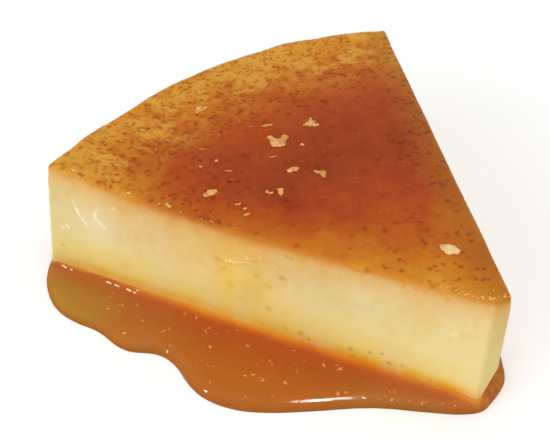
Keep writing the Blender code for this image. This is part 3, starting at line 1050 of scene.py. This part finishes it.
# %% Shape the crumbs
CRUMBS = (
    (74.0, 25.9, (-1.9, 1.6, 0.62), (-1.3, 0.7, 0.66), (-0.9, -0.4, 0.85), (0.0, -0.3, 0.95),
     (0.9, 0.2, 0.85), (1.65, 1.35, 0.8), (1.3, -1.0, 0.66), (-0.9, -1.3, 0.6), (0.1, -1.4, 0.66)),
    (75.2, 34.2, (0.0, 1.5, 0.38), (0.0, 0.5, 0.6), (0.0, -0.6, 0.7), (-1.7, -0.8, 0.38),
     (-0.9, -0.7, 0.5), (1.6, -0.8, 0.42), (0.8, -0.8, 0.52), (-1.0, 0.4, 0.25), (1.1, 0.4, 0.25)),
    (63.8, 22.2, (-0.8, -0.4, 0.5), (0.0, 0.0, 0.66), (0.7, 0.4, 0.55), (0.6, -0.4, 0.4)),
    (58.4, 25.8, (-1.3, 0.8, 0.36), (-0.5, 0.3, 0.48), (0.4, -0.1, 0.7), (0.6, -1.1, 0.42)),
    (60.7, 15.2, (0.0, 0.6, 0.6), (0.0, -0.4, 0.55), (0.0, -1.2, 0.3)),
    (73.4, 7.1, (-0.9, -0.7, 0.6), (0.1, 0.1, 0.85), (0.9, 0.5, 0.62), (-0.4, 0.6, 0.4)),
    (96.2, 22.0, (-0.4, 0.6, 0.7), (-0.9, -1.0, 0.55), (1.1, 0.5, 0.5), (0.2, -0.3, 0.4)),
    (21.4, 33.1, (-1.3, 0.9, 0.8), (-0.5, 0.5, 1.0), (-0.3, -0.5, 0.8), (0.5, 0.0, 0.95),
     (1.2, -0.5, 0.8)),
    (80.5, 27.4, (-1.3, -0.1, 0.25), (-0.6, 0.0, 0.38), (0.2, 0.2, 0.42), (0.9, 0.3, 0.36)),
    (66.1, 7.2, (-0.3, 0.0, 0.36), (0.4, 0.1, 0.36)), (63.9, 6.7, (0.0, 0.0, 0.44)),
    (62.6, 5.5, (-0.3, -0.1, 0.36), (0.3, 0.2, 0.4)), (79.3, 14.5, (0.0, 0.0, 0.42)),
    (80.8, 11.8, (0.0, 0.0, 0.3), (-0.3, 0.2, 0.25)),
    (74.9, 13.8, (-0.5, 0.0, 0.26), (0.1, 0.0, 0.3), (0.7, 0.1, 0.22)),
    (63.0, 13.5, (-0.2, 0.0, 0.36), (0.2, -0.2, 0.3)), (62.0, 13.7, (0.0, 0.0, 0.34)),
    (69.5, 28.9, (0.0, 0.0, 0.36), (0.3, -0.2, 0.24)),
    (100.4, 12.9, (0.0, 0.0, 0.44), (0.5, 0.2, 0.3)),
    (103.9, 1.0, (-0.6, 0.3, 0.42), (0.1, -0.2, 0.36), (0.9, -0.5, 0.25)),
    (89.2, 0.7, (0.0, 0.0, 0.42), (-0.4, 0.1, 0.3)), (81.6, 0.8, (0.0, 0.0, 0.34)),
    (79.3, 1.0, (-0.4, 0.5, 0.42), (0.2, -0.1, 0.48)), (76.0, 0.7, (0.0, 0.0, 0.3)),
    (84.4, 15.4, (-1.2, 0.2, 0.18), (-0.7, 0.1, 0.22), (-0.2, 0.0, 0.24), (0.4, 0.1, 0.22),
     (1.0, 0.1, 0.18)),
    (70.6, 22.2, (-0.7, 0.1, 0.18), (-0.2, 0.0, 0.24), (0.3, 0.1, 0.22), (0.8, 0.2, 0.18)),
    (83.0, 25.2, (-0.5, 0.0, 0.2), (0.0, 0.1, 0.24), (0.5, 0.0, 0.2)),
    (86.3, 24.6, (0.0, 0.0, 0.22), (0.4, 0.1, 0.18)),
    (72.3, 12.4, (-0.2, 0.0, 0.2), (0.2, 0.1, 0.22)), (85.7, 19.9, (0.0, 0.0, 0.24)),
    (68.4, 0.9, (-0.3, 0.1, 0.26), (0.3, -0.1, 0.3)), (71.0, 0.8, (0.0, 0.0, 0.24)),
)
FACING_TURN = math.radians(24)
RIGHT = Vector((math.cos(FACING_TURN), math.sin(FACING_TURN), 0.0))
AWAY = Vector((-RIGHT.y, RIGHT.x, 0.0))
lumps = []
for radius, degrees, *balls in CRUMBS:
    for right, away, size in balls:
        spot = on_slice(radius, degrees) + (RIGHT * right + AWAY * away) * MM
        spot.z = surface(custard_tree, spot.x, spot.y) + 0.15 * size * MM
        lumps.append(lump(spot, 1.3 * size * MM, flat=0.5))
crumbs = fuse(lumps, "custard_crumbs", 0.17 * MM, 0.2 * MM)

# %% [markdown]
# The crumbs are the same custard, wetted by caramel in patches: a noise picks between pale and
# amber. The one near the point fell clear of the caramel and is dry.

# %% Finish the crumbs
crumb_finish, tree, shader = new_finish("crumb_custard")
wet = cloud(1.6 * MM)
ochre = ramp(wet, [
    (0.34, (182, 108, 34)), (0.46, (202, 142, 60)), (0.56, (214, 158, 78)), (0.68, (230, 172, 116)),
])
near_point = on_slice(20.5, 33.0) + Vector((0.0, 0.0, HEIGHT))
dry = ramp(patch(near_point, (7 * MM, 7 * MM, 20 * MM)), [(0.2, 0.0), (0.6, 0.7)])
fill(shader, {
    "Base Color": mixed(dry, ochre, (226, 204, 140)), "Roughness": times(wet, 0.3, 0.2),
    "Subsurface Weight": 0.3, "Subsurface Radius": [1.0, 0.5, 0.22], "Subsurface Scale": 0.8 * MM,
})
crumbs.data.materials.append(crumb_finish)
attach(crumbs, "root")
print("crumbs finished")

# %% [markdown]
# ## Flecks and beads
#
# Specks of custard float in the syrup, and at the point, where the knife went in, syrup and crumbs
# stand as tiny glistening beads along the edge. At the rim end a row of pale beads lies in the corner
# between syrup and custard, and two more lie out on the pool: these are painted highlights, the
# near-white glints of the lamps on the wet syrup. Each is a squashed lump a fraction of a millimetre
# to a millimetre and a half across, half sunk in what it lies on.

# %% Scatter flecks in the syrup
FLECKS = 95


def on_syrup(x, y):
    """The place on the syrup this far from the axis in mm, along and out from the front cut."""
    spot = AXIS - Vector((x, y, 0.0)) * MM
    spot.z = surface(syrup_tree, spot.x, spot.y)
    return spot


flecks = []
while len(flecks) < FLECKS:
    x = AXIS.x - 95 * MM * rng.random() ** 0.8
    y = rng.uniform(pool_low.y, AXIS.y - 1.5 * MM)
    size = (0.2 + 0.45 * rng.random() ** 1.6) * MM
    stretch, turn = rng.uniform(1.0, 1.5), rng.uniform(0.0, math.pi)
    z = surface(syrup_tree, x, y)
    if z > 0.8 * SYRUP_DEPTH and foot_tree.find((x, y, 0.0))[2] > 2.2 * MM:
        flecks.append(lump((x, y, z - 0.05 * size), size, flat=0.3, stretch=stretch, turn=turn))
FROTH = (
    (24.6, 7.9, 0.35), (22.0, 6.9, 0.5), (20.8, 6.5, 0.4), (18.3, 5.7, 0.45), (15.7, 5.1, 0.6),
    (15.0, 4.6, 0.35), (11.5, 3.4, 0.4), (9.0, 2.8, 0.4), (6.3, 1.5, 0.4), (13.2, 4.4, 0.3),
)
for x, y, size in FROTH:
    spot = on_syrup(x, y)
    flecks.append(lump(spot, size * MM, flat=0.4, stretch=1.3, turn=40 * spot.x / MM))
fleck_piece = fuse(flecks, "custard_flecks", 0.12 * MM, 0.16 * MM)

# %% Set beads along the edge at the point
BEADS = (
    (13.6, 4.5, 0.4), (13.0, 6.8, 0.3), (12.2, 5.2, 0.3), (14.8, 5.4, 0.34), (15.4, 4.2, 0.26),
    (14.2, 8.0, 0.3), (11.4, 3.2, 0.36), (10.9, 4.0, 0.24), (10.1, 3.4, 0.32), (9.6, 4.6, 0.26),
    (8.9, 3.0, 0.24), (8.2, 7.0, 0.4), (7.8, 5.0, 0.3), (16.8, 3.4, 0.22), (17.4, 4.6, 0.26),
    (19.6, 3.0, 0.18), (6.4, 9.0, 0.42), (6.9, 11.0, 0.3), (6.0, 14.0, 0.26), (4.9, 34.0, 0.36),
    (5.3, 40.0, 0.26), (7.4, 28.0, 0.24), (12.6, 9.6, 0.24), (5.6, 24.0, 0.34), (4.6, 46.0, 0.34),
)
# Painted highlights: pale beads where the lamps glint on the syrup, by x and y from the axis in mm, and
# size.
GLINT_BEADS = (
    (110.2, 0.7, 0.34), (109.4, 0.9, 0.34), (107.6, 1.0, 0.3), (97.1, 1.1, 0.34), (96.4, 1.2, 0.32),
    (94.7, 1.2, 0.34), (94.1, 1.3, 0.3), (91.4, 1.3, 0.32), (90.7, 1.4, 0.34), (89.3, 1.5, 0.34),
    (89.0, 0.7, 0.26), (27.9, 9.0, 0.26), (27.4, 8.9, 0.22),
)
beads = []
for radius, degrees, size in BEADS:
    spot = on_slice(radius, degrees)
    spot.z = surface(custard_tree, spot.x, spot.y)
    beads.append(lump(spot, size * MM, flat=0.6, stretch=1.25, turn=radius * 7))
for x, y, size in GLINT_BEADS:
    beads.append(lump(on_syrup(x, y), size * MM, flat=0.5, stretch=1.5, turn=-0.1))
bead_piece = fuse(beads, "syrup_beads_and_glints", 0.08 * MM, 0.05 * MM)
bpy.data.objects.remove(ball)

# %% [markdown]
# The flecks are wet custard, tinted by the syrup round them. The beads take the colour of caramel,
# and the beads down on the syrup are painted highlights, nearly white, so the height picks between
# the two.

# %% Finish the flecks and beads
fleck_finish, tree, shader = new_finish("floating_custard")
tone = cloud(2 * MM, 2.0)
fill(shader, {
    "Base Color": ramp(tone, [(0.35, (190, 104, 40)), (0.65, (214, 140, 70))]),
    "Roughness": times(tone, 0.2, 0.1), "Specular IOR Level": 0.25,
})
bead_finish, tree, shader = new_finish("beaded_syrup_and_glints")
tone = cloud(1.5 * MM, 2.0)
warm = ramp(tone, [(0.35, (204, 122, 38)), (0.65, (234, 174, 88))])
# Low down, on the syrup, the beads are painted near white: painted highlights.
low = times(coordinate("Z"), 1 / HEIGHT)
low = ramp(low, [(0.2, 1.0), (0.4, 0.0)])
fill(shader, {
    "Base Color": mixed(low, warm, (255, 246, 226)),
    "Roughness": times(tone, 0.1, 0.1), "Specular IOR Level": 0.2,
})
for piece, finish in ((fleck_piece, fleck_finish), (bead_piece, bead_finish)):
    piece.data.materials.append(finish)
    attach(piece, "root")
    print(piece.name, "finished")

# %% [markdown]
# ## The studio
#
# A plain pale floor, a pale surround and soft lights. Two large panels light the slice, one from the
# front for the pale cut and one from above. Wet food is drawn by its reflections, so two narrow strips
# give those and no other light: the one overhead makes the long bright line on the bead of syrup, and
# the one low at the left makes two small glints on the bead. The panels stay out of reflections.

# %% Lay the floor
bpy.ops.object.select_all(action="DESELECT")
bpy.ops.mesh.primitive_plane_add(size=6.0)
floor = bpy.context.object
floor.name = "floor"
floor_finish, tree, shader = new_finish("pale_floor")
fill(shader, {
    "Base Color": ramp(cloud(0.3, 2.0), [(0.3, 0.95), (0.7, 0.98)]),
    "Roughness": 0.9, "Specular IOR Level": 0.1,
})
floor.data.materials.append(floor_finish)
print("floor laid")


# %% Hang the lights
def panel(name, direction, upward, distance, width, length, brightness, only_reflected):
    """A lamp that looks at the slice from a direction, its length turned towards upward."""
    lamp = bpy.data.lights.new(name, "AREA")
    lamp.shape = "RECTANGLE"
    lamp.size = width
    lamp.size_y = length
    lamp.energy = brightness * math.pi * width * length
    place = bpy.data.objects.new(name, lamp)
    bpy.context.collection.objects.link(place)
    away = Vector(direction).normalized()
    side = Vector(upward).cross(away).normalized()
    place.location = away * distance
    place.rotation_euler = Matrix((side, away.cross(side), away)).transposed().to_euler()
    place.visible_diffuse = not only_reflected
    place.visible_glossy = only_reflected
    print(name, "hung", distance, "m away")


panel("near_lamp", (0.155, -0.1, 1.0), (-0.46, 0.89, 0.0), 1.0, 0.065, 0.32, 80.0, True)
panel("left_lamp", (-0.545, -0.53, 0.62), (0.25, 0.75, 0.6), 1.0, 0.055, 0.3, 70.0, True)
panel("front_panel", (-0.45, -0.85, 0.4), (0.0, 0.0, 1.0), 1.5, 1.6, 0.9, 1.78, False)
panel("top_panel", (0.1, 0.0, 1.0), (0.0, 1.0, 0.0), 1.5, 1.2, 1.2, 2.05, False)

# %% Surround it with pale air
world = bpy.data.worlds.new("pale_surround")
bpy.context.scene.world = world
world.use_nodes = True
surround = world.node_tree.nodes["Background"]
surround.inputs["Color"].default_value = (1.0, 1.0, 1.0, 1.0)
surround.inputs["Strength"].default_value = 0.64
bpy.context.scene.view_settings.view_transform = "Standard"
print("surround at", round(surround.inputs["Strength"].default_value, 2))

# %% [markdown]
# The camera stands before the point of the slice and looks down at it and to the left, from about
# 40 degrees above the table, as one would look at a dessert served at one's own place.

# %% Set up the camera
LENS = 65.4545
STANDS_AT = Vector((11.616, -144.1, 173.195)) * MM
TILT, TURN = math.radians(49.21), math.radians(24.11)
view = bpy.data.cameras.new("camera")
view.sensor_width = 36.0
view.lens = LENS
camera = bpy.data.objects.new("camera", view)
bpy.context.collection.objects.link(camera)
camera.location = AXIS + STANDS_AT
camera.rotation_euler = (TILT, 0.0, TURN)
bpy.context.scene.camera = camera
print("camera stands", round(camera.location.length / MM), "mm from the middle of the model")
